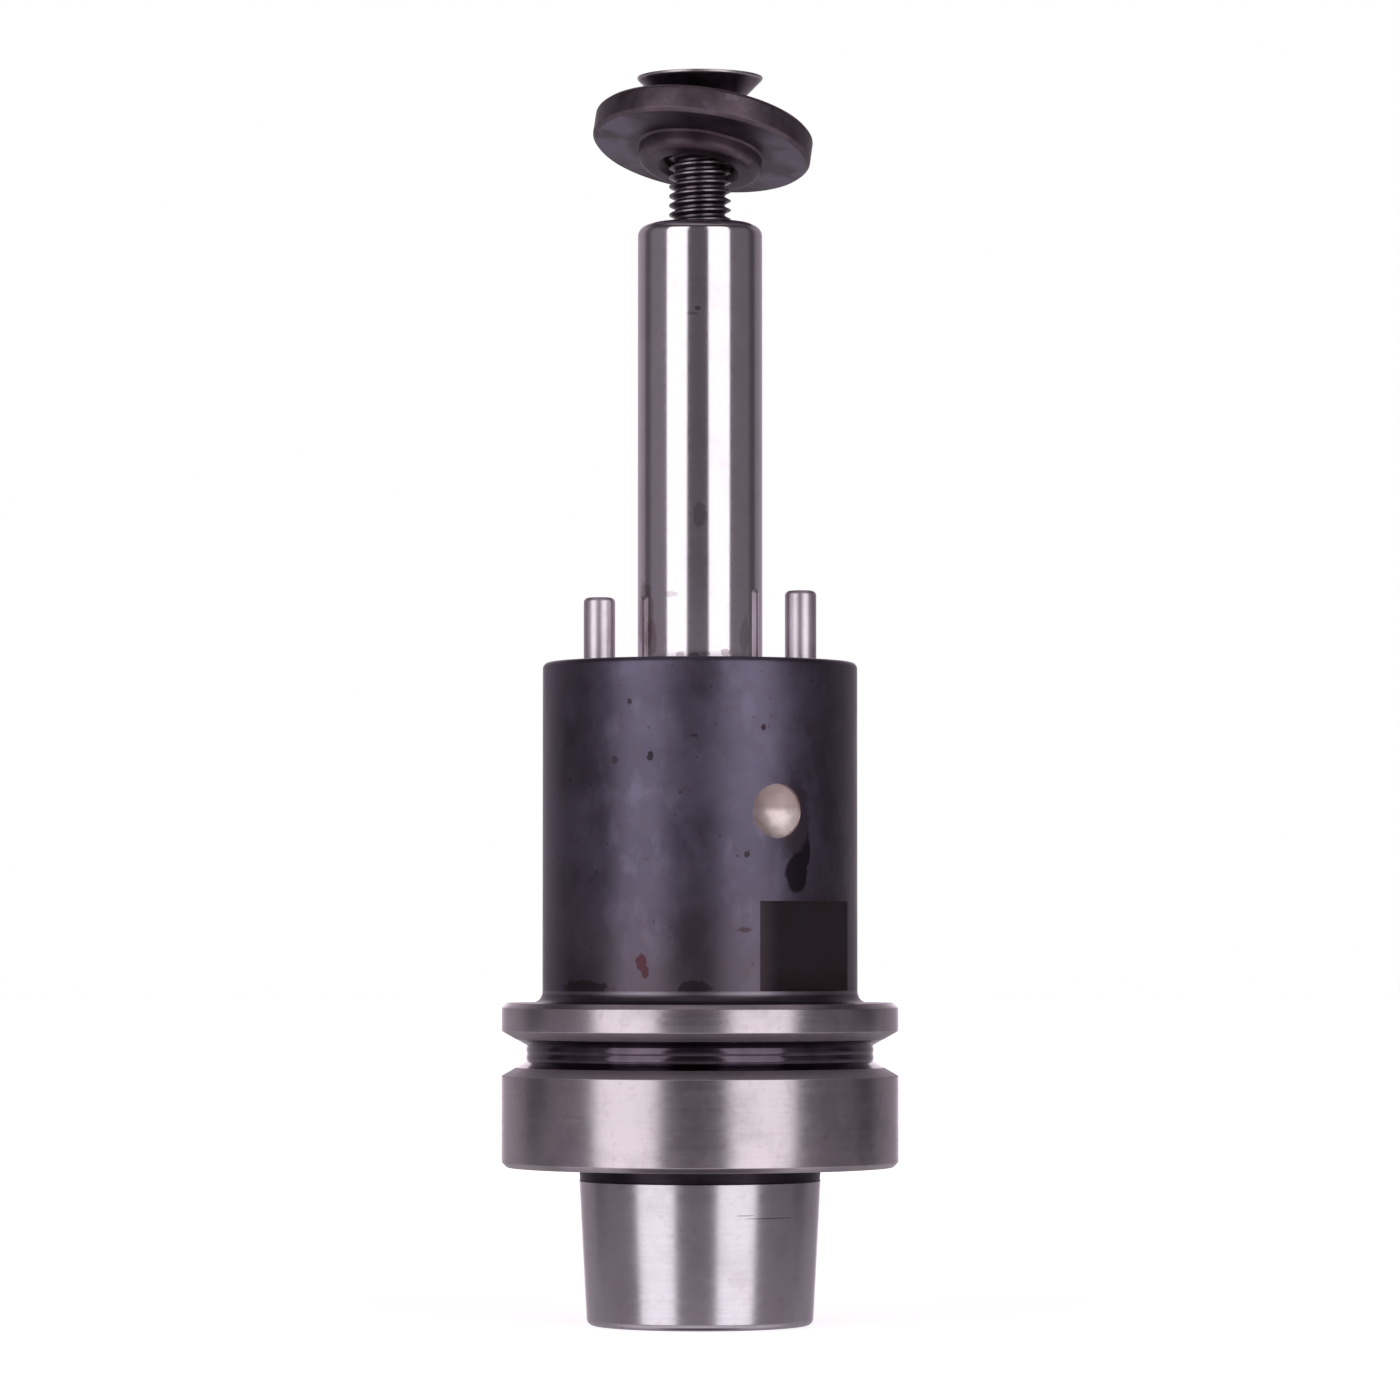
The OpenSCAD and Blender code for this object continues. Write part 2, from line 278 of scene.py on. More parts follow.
def add(tree, kind, inputs=None, **settings):
    """Add one node, set its properties, then set or link its inputs by name or number.

    A node given as an input is linked by its first output in use.
    """
    node = tree.nodes.new("ShaderNode" + kind)
    for key, value in settings.items():
        setattr(node, key, value)
    for key, value in (inputs or {}).items():
        if isinstance(value, bpy.types.Node):
            value = next(output for output in value.outputs if output.enabled)
        if isinstance(value, bpy.types.NodeSocket):
            tree.links.new(value, node.inputs[key])
        else:
            node.inputs[key].default_value = value
    return node


def new_material(name):
    """An empty material: returns it, its tree and the place on the piece in mm."""
    material = bpy.data.materials.new(name)
    material.use_nodes = True
    tree = material.node_tree
    tree.nodes.clear()
    place = add(tree, "TexCoord").outputs["Object"]
    return material, tree, add(tree, "VectorMath", {0: place, 1: (1 / MM,) * 3}, operation="MULTIPLY")


def clouds(tree, place, size_mm, stretch=(1, 1, 1), detail=4.0):
    """Noise from 0 to 1 whose patches are about size_mm across, divided by stretch along each axis."""
    scaled = add(tree, "VectorMath", {0: place, 1: stretch}, operation="MULTIPLY")
    fine = {"Scale": 1 / size_mm, "Detail": detail, "Roughness": 0.55}
    return add(tree, "TexNoise", {"Vector": scaled, **fine})


def patches(tree, place, size_mm, limits, amounts=(0, 1), stretch=(1, 1, 1), detail=4.0):
    """Clouds that go smoothly from one amount at their lower limit to another at their upper one."""
    noise = clouds(tree, place, size_mm, stretch, detail)
    span = {1: limits[0], 2: limits[1], 3: amounts[0], 4: amounts[1]}
    return add(tree, "MapRange", {0: noise, **span}, **SMOOTH)


def layered(tree, tone, *layers):
    """Lay colours over a tone, one after another. Each layer is its mask and its colour."""
    for mask, rgba in layers:
        # the factor and the two colours of a colour mix are its inputs 0, 6 and 7
        tone = add(tree, "Mix", {0: mask, 6: tone, 7: rgba}, data_type="RGBA")
    return tone


def shade(rgba, share):
    """The same colour, lighter or darker by a share."""
    return tuple(min(1.0, c * share) for c in rgba[:3]) + (1.0,)


def from_axis(tree, place):
    """The place without its height, and its distance from the piece's axis."""
    flat = add(tree, "VectorMath", {0: place, 1: (1, 1, 0)}, operation="MULTIPLY")
    return flat, add(tree, "VectorMath", {0: flat}, operation="LENGTH")


def marked(tree, place, radius, marks):
    """Layers for the marks on a round surface.

    A mark is its direction in degrees, height, half width and half height in mm, raggedness, the share
    of the surface's tone that it covers, and its colour.
    """
    layers = []
    for around, height, half_w, half_h, ragged, share, code in marks:
        turn = math.radians(around)
        centre = (radius / MM * math.cos(turn), radius / MM * math.sin(turn), height)
        off = add(tree, "VectorMath", {0: place, 1: centre}, operation="SUBTRACT")
        size = (1 / half_w, 1 / half_w, 1 / half_h)
        scaled = add(tree, "VectorMath", {0: off, 1: size}, operation="MULTIPLY")
        reach = add(tree, "VectorMath", {0: scaled}, operation="LENGTH")
        noise = clouds(tree, place, min(half_w, half_h))
        far = add(tree, "Math", {0: noise, 1: ragged, 2: reach}, operation="MULTIPLY_ADD")
        edge = 1 + ragged / 2
        mask = add(tree, "MapRange", {0: far, 1: edge - 0.15, 2: edge + 0.15, 3: share, 4: 0}, **SMOOTH)
        layers.append((mask, linear(code)))
    return layers


def metal(material, tone, roughness, height, depth_mm):
    """Close a metal finish: its tone, its roughness and a relief of depth_mm. Returns the material."""
    tree = material.node_tree
    relief = add(tree, "Bump", {"Height": height, "Strength": 0.6, "Distance": depth_mm * MM})
    looks = {"Base Color": tone, "Metallic": 1.0, "Roughness": roughness, "Normal": relief}
    add(tree, "OutputMaterial", {"Surface": add(tree, "BsdfPrincipled", looks)})
    return material


def black_oxide(settings):
    """Hot black oxide on turned alloy steel: a satin film, violet-brown and blotchy, with rust specks."""
    material, tree, place = new_material("black_oxide_steel")
    base = settings.oxide
    height = add(tree, "SeparateXYZ", {0: place}).outputs["Z"]
    # hands and coolant turned the lower end a little browner
    handled = add(tree, "MapRange", {0: height, 1: 27, 2: 52, 3: 0.55, 4: 0}, **SMOOTH)
    # painted highlight: a brighter line painted where the root fillet begins, where the fillet's edge
    # catches the light
    root_z = (settings.flange_h + settings.root_r) / MM - 0.15
    off_root = add(tree, "Math", {0: height, 1: root_z}, operation="SUBTRACT")
    off_root = add(tree, "Math", {0: off_root}, operation="ABSOLUTE")
    root_painted_highlight = add(tree, "MapRange", {0: off_root, 1: 0.1, 2: 0.4, 3: 0.42, 4: 0}, **SMOOTH)
    tone = layered(
        tree,
        shade(base, 0.78),
        (patches(tree, place, 14, (0.35, 0.65)), shade(base, 1.12)),
        (patches(tree, place, 2.2, (0.5, 0.75), (0, 0.35)), linear("5b4a4c")),
        (patches(tree, place, 3.6, (0.48, 0.68), (0, 0.4), (1, 1, 0.6)), linear("6f6a7d")),
        (patches(tree, place, 1.1, (0.74, 0.8), (0, 0.7), detail=1.0), linear("3a3036")),
        (handled, linear("56494f")),
        *marked(tree, place, settings.body_r, BODY_MARKS),
        (root_painted_highlight, linear("a49ca8")),
    )
    rough = patches(tree, place, 14, (0.3, 0.7), (0.33, 0.42))
    # turning lines are about 0.1 mm apart; drawn 0.4 mm apart so that they show
    return metal(material, tone, rough, clouds(tree, place, 0.4, (0.02, 0.02, 1), 2.0), 0.006)


def dark_oxide(settings, name, roughness, share):
    """The same black oxide where grinding never reached: darker than the body, with a browner cast."""
    material, tree, place = new_material(name)
    base = tuple(part * cast for part, cast in zip(settings.oxide, (1.05, 0.92, 0.86, 1)))
    lighter = patches(tree, place, 6, (0.35, 0.65))
    # a low share darkens the tone further; for the relief strip that darkening is painted shade
    tone = layered(tree, shade(base, share * 0.65), (lighter, shade(base, share)))
    # turning lines are about 0.1 mm apart; drawn 0.5 mm apart so that they show
    return metal(material, tone, roughness, clouds(tree, place, 0.5, (0.02, 0.02, 1), 2.0), 0.02)


def ground_steel(name, base, roughness, grain_mm, stain, radius=0.0, marks=()):
    """Cylindrically ground steel: lines round the axis draw highlights into bands, under hand stains."""
    material, tree, place = new_material(name)
    tone = layered(
        tree,
        base,
        (patches(tree, place, 9, (0.42, 0.7), (0, stain)), shade(base, 0.62)),
        (patches(tree, place, 1.6, (0.5, 0.8), (0, stain * 0.6)), linear("8b7a78")),
        *marked(tree, place, radius, marks),
    )
    # grinding lines are a few hundredths of a millimetre apart; drawn at grain_mm so that they show
    lines = ((0.012, 0.012, 1), 2.0)
    rough = patches(tree, place, grain_mm, (0.3, 0.7), (roughness - 0.015, roughness + 0.02), *lines)
    return metal(material, tone, rough, clouds(tree, place, grain_mm, *lines), 0.0008)


def drilled_steel(settings):
    """Bare steel left by a twist drill: dull beige, its lower half painted lighter as painted light."""
    material, tree, place = new_material("drilled_bare_steel")
    height = add(tree, "SeparateXYZ", {0: place}).outputs["Z"]
    middle = settings.drill_z / MM
    # painted light: the drilling's lower half is painted lighter and made smoother, as where light falls
    # into it
    lower = add(tree, "MapRange", {0: height, 1: middle - 0.5, 2: middle + 0.9, 3: 1, 4: 0}, **SMOOTH)
    tone = layered(
        tree,
        linear("b7a6a4"),
        (lower, linear("dfd0cf")),
        (patches(tree, place, 1.4, (0.35, 0.7), (0, 0.4)), linear("a3918f")),
    )
    rough = add(tree, "MapRange", {0: lower, 1: 0, 2: 1, 3: 0.55, 4: 0.42}, **SMOOTH)
    # the torn grain that a drill leaves is about 0.1 mm across; drawn 0.6 mm across so that it shows
    return metal(material, tone, rough, clouds(tree, place, 0.6, detail=2.0), 0.008)


def milled_oxide(settings):
    """Black oxide over a milled flat: darker and smoother than the turned body, with a rusty cast."""
    material, tree, place = new_material("black_oxide_milled")
    height = add(tree, "SeparateXYZ", {0: place}).outputs["Z"]
    rust_top = (settings.flat_z + settings.flat_h * 0.3) / MM
    rusty = add(tree, "MapRange", {0: height, 1: rust_top - 3, 2: rust_top, 3: 0.6, 4: 0}, **SMOOTH)
    # the oxide thins towards the flat's left edge
    level = (-FLAT["axis"][1], FLAT["axis"][0], 0)
    along = add(tree, "VectorMath", {0: place, 1: level}, operation="DOT_PRODUCT")
    thin = add(tree, "MapRange", {0: along, 1: -10.5, 2: -5, 3: 1, 4: 0}, **SMOOTH)
    tone = layered(
        tree,
        linear("4e494d"),
        (patches(tree, place, 6, (0.38, 0.62)), linear("504548")),
        (rusty, linear("443537")),
        (thin, linear("7a6e74")),
    )
    # end mill feed marks are about 0.3 mm apart; drawn 0.8 mm apart so that they show
    return metal(material, tone, 0.3, clouds(tree, place, 0.8, (0.1, 0.1, 1), 2.0), 0.006)


def washer_oxide(settings):
    """Brown-black oxide on turned steel: rings round its axis, dull with handling, painted light below."""
    material, tree, place = new_material("brown_oxide_steel")
    base = settings.oxide
    flat, radius = from_axis(tree, place)
    height = add(tree, "SeparateXYZ", {0: place}).outputs["Z"]
    face_z = -settings.disc_t / MM
    under = add(tree, "MapRange", {0: height, 1: face_z - 0.05, 2: face_z + 0.1, 3: 1, 4: 0}, **SMOOTH)
    boss = settings.boss_r / MM
    outside = add(tree, "MapRange", {0: radius, 1: boss + 1, 2: boss + 3, 3: 0, 4: 1}, **SMOOTH)
    # painted light on the underside: two opposite sides are painted lighter as a painted reflection, and the
    # stretch between them darker as painted shade
    turn = math.radians(30)
    towards = (math.cos(turn), math.sin(turn), 0)
    unit = add(tree, "VectorMath", {0: flat}, operation="NORMALIZE")
    side = add(tree, "VectorMath", {0: unit, 1: towards}, operation="DOT_PRODUCT")
    side = add(tree, "Math", {0: side}, operation="ABSOLUTE")
    sides_painted_reflection = add(tree, "MapRange", {0: side, 1: 0.45, 2: 0.9, 3: 0, 4: 1}, **SMOOTH)
    for mask in (under, outside, patches(tree, place, 6, (0.3, 0.6), (0.1, 0.9), detail=2.0)):
        sides_painted_reflection = add(tree, "Math", {0: sides_painted_reflection, 1: mask}, operation="MULTIPLY")
    middle_painted_shade = add(tree, "MapRange", {0: side, 1: 0.3, 2: 0.85, 3: 0.75, 4: 0}, **SMOOTH)
    middle_painted_shade = add(tree, "Math", {0: middle_painted_shade, 1: under}, operation="MULTIPLY")
    tone = layered(
        tree,
        shade(base, 0.72),
        (patches(tree, place, 7, (0.35, 0.65)), shade(base, 1.15)),
        (patches(tree, place, 2.5, (0.5, 0.75), (0, 0.5)), linear("7d7280")),
        # painted shade between the two sides, and the painted reflection at them
        (middle_painted_shade, linear("40343b")),
        (sides_painted_reflection, linear("8e869a")),
    )
    rough = patches(tree, place, 7, (0.3, 0.7), (0.38, 0.5))
    # feed rings of the facing cut are about 0.2 mm apart; drawn 0.5 mm apart so that they show
    rings = add(tree, "CombineXYZ", {"X": radius})
    return metal(material, tone, rough, clouds(tree, rings, 0.5, detail=1.0), 0.012)


def screw_oxide(settings):
    """Oiled black oxide on a rolled thread: glossy and deep, worn to bright steel on the crests."""
    material, tree, place = new_material("oiled_black_oxide")
    base = settings.oxide
    radius = from_axis(tree, place)[1]
    crest = settings.crest_r / MM
    head = SCREW_HI.x / MM
    worn = patches(tree, place, 1.8, (0.3, 0.6), (0.15, 0.75))
    # only the crests are worn: neither the thread's depth nor the head, which lies further out
    for low, high, first, last in ((crest - 0.2, crest, 0, 1), (crest + 0.07, crest + 0.22, 1, 0)):
        mask = add(tree, "MapRange", {0: radius, 1: low, 2: high, 3: first, 4: last}, **SMOOTH)
        worn = add(tree, "Math", {0: worn, 1: mask}, operation="MULTIPLY")
    # painted glint: the head's rim is painted lighter, where its edge catches the light
    rim = add(tree, "MapRange", {0: radius, 1: head - 0.3, 2: head - 0.1, 3: 0, 4: 1}, **SMOOTH)
    tone = layered(
        tree,
        shade(base, 0.55),
        (clouds(tree, place, 3), base),
        (worn, settings.crest),
        (rim, linear("aba5a8")),
    )
    rough = patches(tree, place, 2, (0.3, 0.7), (0.27, 0.38))
    # the film's own grain is far below 0.1 mm; drawn 0.4 mm across so that it shows
    return metal(material, tone, rough, clouds(tree, place, 0.4), 0.004)


# ---------------------------------------- turned shapes


class Outline:
    """The half section of a turned piece: points of (radius, height), each stretch with its finish."""

    def __init__(self, radius, height):
        self.points = [(radius, height)]
        self.finishes = []

    def to(self, radius, height, finish=0):
        """A straight stretch to the next point."""
        self.points.append((radius, height))
        self.finishes.append(finish)
        return self

    def arc(self, centre, r, start, end, finish=0, steps=8):
        """A round stretch about centre, from one angle to another in degrees."""
        for i in range(steps + 1):
            turn = math.radians(start + (end - start) * i / steps)
            self.to(centre[0] + r * math.cos(turn), centre[1] + r * math.sin(turn), finish)
        return self

    def softened(self, size, steps=4, least=25):
        """The same outline with each sharp corner rounded by about size."""
        points, finishes = [self.points[0]], []
        for i in range(1, len(self.points) - 1):
            before, here, after = (Vector(self.points[j]) for j in (i - 1, i, i + 1))
            back, on = before - here, after - here
            if min(back.length, on.length) < 1e-7 or math.degrees(math.pi - back.angle(on)) < least:
                points.append(tuple(here))
                finishes.append(self.finishes[i - 1])
                continue
            near = here + back.normalized() * min(size, back.length * 0.4)
            far = here + on.normalized() * min(size, on.length * 0.4)
            for k in range(steps + 1):
                t = k / steps
                points.append(tuple(near * (1 - t) ** 2 + here * 2 * t * (1 - t) + far * t**2))
                finishes.append(self.finishes[i - 1] if t < 0.5 else self.finishes[i])
        points.append(self.points[-1])
        finishes.append(self.finishes[-1])
        soft = Outline(*points[0])
        soft.points, soft.finishes = points, finishes
        return soft


def hexagon(af, turn):
    """Distance from the centre to a hexagon's wall in one direction."""
    return af / 2 / math.cos((turn + math.pi / 6) % (math.pi / 3) - math.pi / 6)


def turn_rings(mesh, outline, steps):
    """Add rings of quads for an outline. A radius may be a function of the direction."""
    rows = []
    for radius, height in outline.points:
        if not callable(radius) and radius < 1e-9:
            rows.append([mesh.verts.new((0, 0, height))])
            continue
        row = []
        for i in range(steps):
            turn = 2 * math.pi * i / steps
            r = radius(turn) if callable(radius) else radius
            row.append(mesh.verts.new((r * math.cos(turn), r * math.sin(turn), height)))
        rows.append(row)
    for low, high, finish in zip(rows, rows[1:], outline.finishes):
        for i in range(steps):
            j = (i + 1) % steps
            corners = [low[i % len(low)], low[j % len(low)], high[j % len(high)], high[i % len(high)]]
            corners = list(dict.fromkeys(corners))
            if len(corners) > 2:
                mesh.faces.new(corners).material_index = finish


def finish_mesh(mesh, name, finishes, sharp=20):
    """Close, smooth and link a bmesh as an object with its materials."""
    bmesh.ops.remove_doubles(mesh, verts=mesh.verts, dist=1e-7)
    bmesh.ops.dissolve_degenerate(mesh, edges=mesh.edges, dist=1e-8)
    bmesh.ops.recalc_face_normals(mesh, faces=mesh.faces)
    data = bpy.data.meshes.new(name)
    mesh.to_mesh(data)
    mesh.free()
    for finish in finishes:
        data.materials.append(finish)
    data.shade_smooth()
    data.set_sharp_from_angle(angle=math.radians(sharp))
    piece = bpy.data.objects.new(name, data)
    bpy.context.scene.collection.objects.link(piece)
    return piece


def turned(name, outline, finishes, steps):
    """A turned piece from its half section."""
    mesh = bmesh.new()
    turn_rings(mesh, outline, steps)
    return finish_mesh(mesh, name, finishes)


def cut(piece, cutters, sharp=14):
    """Cut pieces out of another, and remove them."""
    for cutter in cutters:
        modifier = piece.modifiers.new("cut", "BOOLEAN")
        modifier.operation = "DIFFERENCE"
        modifier.solver = "EXACT"
        modifier.material_mode = "TRANSFER"
        modifier.object = cutter
    bpy.context.view_layer.update()
    done = bpy.data.meshes.new_from_object(piece.evaluated_get(bpy.context.evaluated_depsgraph_get()))
    piece.modifiers.clear()
    piece.data = done
    done.shade_smooth()
    done.set_sharp_from_angle(angle=math.radians(sharp))
    for cutter in cutters:
        bpy.data.objects.remove(cutter)


def thread_rows(mesh, pitch, crest_r, root_r, low_z, high_z, end_r, steps, outward=True):
    """Add a helical thread between two heights.

    A screw's thread runs out to end_r at both ends, a hole's at its mouth. The helix passes the same
    points whatever the piece, so a screw and its hole are in mesh.
    """
    # one pitch of the profile: share of the pitch and share of the depth
    profile = ((0.0, 0), (0.1, 0), (0.36, 0.85), (0.42, 1), (0.58, 1), (0.64, 0.85), (0.9, 0))
    count = len(profile)
    first_turn = math.floor(low_z / pitch) - 2
    last_turn = math.ceil(high_z / pitch) + 2
    rows = []
    for turn_number in range(first_turn, last_turn):
        for share, depth in profile:
            row = []
            for i in range(steps):
                turn = 2 * math.pi * i / steps
                z = (turn_number + share + i / steps) * pitch
                z = min(max(z, low_z), high_z)
                r = root_r + depth * (crest_r - root_r)
                if outward:
                    r = min(r, end_r + min(z - low_z, high_z - z))
                elif z > high_z - pitch:
                    r = max(r, end_r - (high_z - z))
                row.append(mesh.verts.new((r * math.cos(turn), r * math.sin(turn), z)))
            rows.append(row)
    for m in range(len(rows) - 1 - count):
        for i in range(steps):
            # a full turn ends in the row one pitch further up
            n = m if i < steps - 1 else m + count
            j = (i + 1) % steps
            mesh.faces.new((rows[m][i], rows[n][j], rows[n + 1][j], rows[m + 1][i]))


def place_piece(piece, body, node):
    """Ride a finished piece on its body, in place of its CAD node."""
    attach(piece, body)
    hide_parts(node)


# ---------------------------------------- operators


class ARBOR_OT_holder(bpy.types.Operator):
    """Build the holder: taper, flange with its gripper groove, body, flats and drilling"""

    bl_idname = "arbor.holder"
    bl_label = "Holder"

    OXIDE, RECESS, RIM, TAPER, BARE, MILLED, FLANK, RELIEF = range(8)
    # how far a cutting tool reaches past the surface that it cuts
    CLEAR = 5 * MM

    def outline(self, s):
        """Half section from the chamber's centre drilling, round the taper and up to the seat."""

        def taper_r(z):
            return s.gauge_r + (z + s.gauge_z) / s.taper_ratio / 2

        groove_rise = (FLANGE_R - s.groove_r) * math.tan(SLOPE)
        ground_rise = (s.ground_r - s.groove_r) * math.tan(SLOPE)
        groove_low = s.groove_z - s.groove_w / 2
        groove_high = s.groove_z + s.groove_w / 2
        # each flank ends a little above the groove's bottom, in a small step
        step_r, step_z = s.groove_r + 0.25 * MM, 0.14 * MM
        ridge_points = 32
        shoulder_rise = (s.chamber_r - MOUTH_R) / math.tan(SLOPE)
        land_z = TAPER_END_Z + s.mouth_len
        end_r = taper_r(TAPER_END_Z)
        centre_z = s.chamber_z + s.centre_in
        line = Outline(0, centre_z + s.centre_r / math.tan(SLOPE))
        line.to(s.centre_r, centre_z, self.RECESS)
        line.to(s.centre_r, s.chamber_z, self.RECESS)
        line.to(s.chamber_r, s.chamber_z, self.RECESS)
        line.to(s.chamber_r, land_z + shoulder_rise, self.RECESS)
        line.to(MOUTH_R, land_z, self.TAPER)
        line.to(MOUTH_R, TAPER_END_Z + s.mouth_edge, self.TAPER)
        line.to(MOUTH_R + s.mouth_edge, TAPER_END_Z, self.TAPER)
        line.arc((end_r - s.taper_end_r, TAPER_END_Z + s.taper_end_r), s.taper_end_r, -90, -3, self.TAPER)
        ground_z = -s.relief_len - s.relief_in
        line.to(taper_r(ground_z), ground_z, self.TAPER)
        line.to(taper_r(-s.relief_len) - s.relief_in, -s.relief_len, self.RELIEF)
        line.to(taper_r(0) - s.relief_in, 0, self.RELIEF)
        line.to(FLANGE_R - s.flange_edge, 0, self.RIM)
        line.to(FLANGE_R, s.flange_edge, self.RIM)
        line.to(FLANGE_R, groove_low - groove_rise, self.RIM)
        line.to(s.ground_r, groove_low - ground_rise, self.FLANK)
        line.to(step_r, groove_low - step_z, self.RECESS)
        for i in range(ridge_points + 1):
            share = i / ridge_points
            ridge = s.ridge_h * abs(math.sin(share * 2 * math.pi))
            line.to(s.groove_r + ridge, groove_low + s.groove_w * share, self.RECESS)
        line.to(step_r, groove_high + step_z, self.RECESS)
        line.to(s.ground_r, groove_high + ground_rise, self.RECESS)
        line.to(FLANGE_R, groove_high + groove_rise, self.FLANK)
        line.to(FLANGE_R, s.flange_h - s.flange_edge, self.RIM)
        line.to(FLANGE_R - s.flange_edge, s.flange_h, self.RIM)
        line.to(s.body_r + s.root_r, s.flange_h, self.OXIDE)
        line.arc((s.body_r + s.root_r, s.flange_h + s.root_r), s.root_r, 270, 180, self.OXIDE)
        line.to(s.body_r, s.drill_z, self.OXIDE)
        line.arc((s.body_r - s.seat_edge_r, SEAT_Z - s.seat_edge_r), s.seat_edge_r, 0, 90, self.OXIDE)
        # the seat is ground as finely as the taper
        line.to(s.recess_r, SEAT_Z, self.TAPER)
        line.to(s.recess_r, SHOULDER_Z, self.RECESS)
        line.to(0, SHOULDER_Z, self.RECESS)
        return line.softened(s.edge_break)

    def flat_block(self, s, turn, finishes):
        """A block that leaves one wrench flat."""
        out = math.hypot(*FLAT["pos_m"][:2])
        deep, wide = 20 * MM, 60 * MM
        mesh = bmesh.new()
        bmesh.ops.create_cube(mesh, size=1)
        size = Matrix.Diagonal((deep, wide, s.flat_h, 1))
        middle = Matrix.Translation((out + deep / 2, 0, s.flat_z + s.flat_h / 2))
        bmesh.ops.transform(mesh, matrix=Matrix.Rotation(turn, 4, "Z") @ middle @ size, verts=mesh.verts)
        for face in mesh.faces:
            face.material_index = self.MILLED
        return finish_mesh(mesh, "flat_block", finishes)

    def drill(self, s, finishes):
        """The tool that leaves the balancing drilling, with its 118 degree point."""
        line = Outline(0, -s.drill_in - s.drill_r / math.tan(DRILL_POINT))
        line.to(s.drill_r, -s.drill_in, self.BARE)
        line.to(s.drill_r, self.CLEAR, self.BARE)
        line.to(0, self.CLEAR, self.BARE)
        tool = turned("drill", line, finishes, DRILL_STEPS)
        aim = Matrix.Rotation(s.drill_turn, 4, "Z") @ Matrix.Translation((s.body_r, 0, s.drill_z))
        tool.data.transform(aim @ Matrix.Rotation(math.pi / 2, 4, "Y"))
        return tool

    def pin_bore(self, low, high, finishes):
        """The tool that leaves the bore a drive pin is pressed into."""
        shank_r = (high.x - low.x) / 2
        line = Outline(0, low.z).to(shank_r, low.z, self.RECESS)
        line.to(shank_r, SEAT_Z + self.CLEAR, self.RECESS).to(0, SEAT_Z + self.CLEAR, self.RECESS)
        tool = turned("pin_bore", line, finishes, PIN_STEPS)
        tool.data.transform(Matrix.Translation(((low.x + high.x) / 2, 0, 0)))
        return tool

    def execute(self, context):
        s = context.scene.arbor_holder
        finishes = [
            black_oxide(s),
            dark_oxide(s, "black_oxide_recess", roughness=0.15, share=0.95),
            ground_steel("ground_rim_steel", s.rim, roughness=0.235, grain_mm=0.5, stain=0.5),
            ground_steel(
                "ground_taper_steel",
                s.taper,
                roughness=0.21,
                grain_mm=0.4,
                stain=0.3,
                radius=s.gauge_r,
                marks=TAPER_MARKS,
            ),
            drilled_steel(s),
            milled_oxide(s),
            # the groove's flanks are ground too, but left duller than the rim
            ground_steel("ground_flank_steel", s.rim, roughness=0.48, grain_mm=0.5, stain=0.5),
            # the narrow relief strip is darkened far below the oxide's tone: its real oxide, with painted
            # shade of the undercut
            dark_oxide(s, "black_oxide_relief_painted_shade", roughness=0.4, share=0.3),
        ]
        piece = turned("holder_turned", self.outline(s), finishes, BODY_STEPS)
        facing = math.atan2(FLAT["axis"][1], FLAT["axis"][0])
        blocks = [self.flat_block(s, facing + half, finishes) for half in (0, math.pi)]
        bores = [self.pin_bore(low, high, finishes) for low, high in PIN_BOXES.values()]
        cut(piece, [*blocks, self.drill(s, finishes), *bores])
        place_piece(piece, "arbor", "holder")
        return {"FINISHED"}


class ARBOR_OT_spindle(bpy.types.Operator):
    """Build the spindle with its threaded hole"""

    bl_idname = "arbor.spindle"
    bl_label = "Spindle"

    def execute(self, context):
        s = context.scene.arbor_spindle
        screw = context.scene.arbor_screw
        # lapped after grinding, so bright that it mirrors the softboxes as two white bands
        ground = ground_steel(
            "lapped_spindle_steel",
            s.steel,
            roughness=0.13,
            grain_mm=0.3,
            stain=0.16,
            radius=SPINDLE_R,
            marks=SPINDLE_MARKS,
        )
        top_z = SPINDLE_HI.z
        groove_r = screw.crest_r + THREAD_PLAY
        land_r = groove_r - HOLE_DEPTH * screw.pitch
        mouth_r = groove_r + s.lead_in
        line = Outline(0, SHOULDER_Z).to(SPINDLE_R, SHOULDER_Z)
        line.arc((SPINDLE_R - s.end_r, top_z - s.end_r), s.end_r, 0, 90)
        line.to(mouth_r, top_z).to(groove_r, top_z - s.lead_in)
        mesh = bmesh.new()
        turn_rings(mesh, line.softened(s.edge_break), SPINDLE_STEPS)
        low_z, high_z = top_z - s.thread_depth, top_z - s.lead_in
        thread_rows(
            mesh, screw.pitch, groove_r, land_r, low_z, high_z, groove_r, SPINDLE_STEPS, outward=False
        )
        floor = Outline(groove_r, low_z).to(land_r, low_z).to(0, low_z - land_r / math.tan(DRILL_POINT))
        turn_rings(mesh, floor, SPINDLE_STEPS)
        piece = finish_mesh(mesh, "spindle_turned", [ground])
        place_piece(piece, "arbor", "spindle")
        return {"FINISHED"}


class ARBOR_OT_drive_pins(bpy.types.Operator):
    """Build the two drive pins"""

    bl_idname = "arbor.drive_pins"
    bl_label = "Drive pins"

    def execute(self, context):
        s = context.scene.arbor_pins
        # dowels are ground but not lapped: duller than the spindle
        steel = ground_steel("ground_pin_steel", s.steel, roughness=0.37, grain_mm=0.3, stain=0.3)
        for side, (low, high) in PIN_BOXES.items():
            x = (low.x + high.x) / 2
            shank_r = (high.x - low.x) / 2
            line = Outline(0, low.z).to(shank_r, low.z).to(shank_r, SEAT_Z).to(PIN_R, SEAT_Z)
            line.arc((PIN_R - s.end_r, high.z - s.end_r), s.end_r, 0, 90).to(0, high.z)
            pin = turned(f"drive_pin_{side}_turned", line, [steel], PIN_STEPS)
            pin.data.transform(Matrix.Translation((x, 0, 0)))
            place_piece(pin, "arbor", f"drive_pin_{side}")
        return {"FINISHED"}


